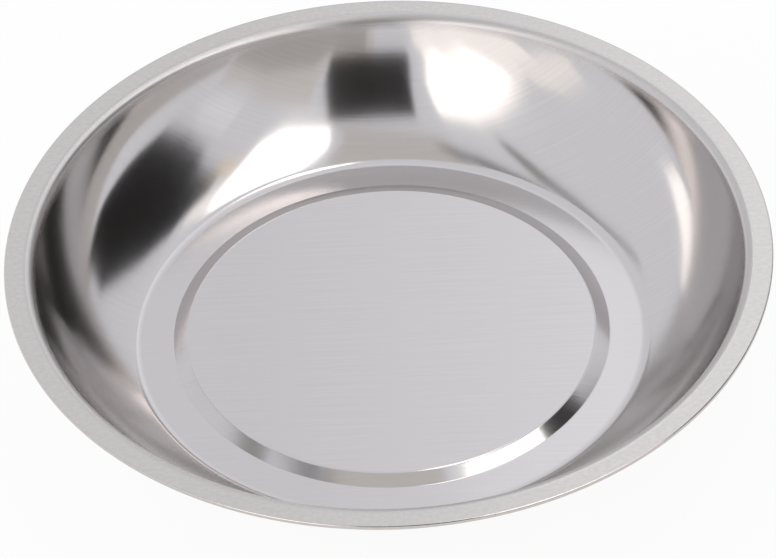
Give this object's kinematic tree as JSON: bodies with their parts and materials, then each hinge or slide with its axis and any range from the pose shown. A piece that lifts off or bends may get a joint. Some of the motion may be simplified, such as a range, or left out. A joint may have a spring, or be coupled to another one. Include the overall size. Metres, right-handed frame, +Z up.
{
  "type": "magnetic parts tray",
  "caption": "Round pressed stainless tray with a flat rim, a bowed wall and a raised floor, on a rubber-booted ring magnet that holds screws in the bowl and the tray on steel.",
  "frame": {"origin": "middle of the flat face under the boot, on which the tray stands", "axes": "+Z up along the tray's axis, towards the open bowl; X and Y lie in the face that it stands on"},
  "size_m": [0.15, 0.15, 0.0335],
  "materials": {
    "dish_steel": "satin",
    "fastener_steel": "satin",
    "ferrite": "matte",
    "boot_rubber": "matte"
  },
  "bodies": {
    "root": {"dish": "dish_steel", "weld_stud": "fastener_steel", "ring_magnet": "ferrite", "magnet_boot": "boot_rubber", "spacer_sleeve": "fastener_steel", "flat_washer": "fastener_steel", "spring_washer": "fastener_steel", "hex_nut": "fastener_steel"}
  },
  "joints": []
}
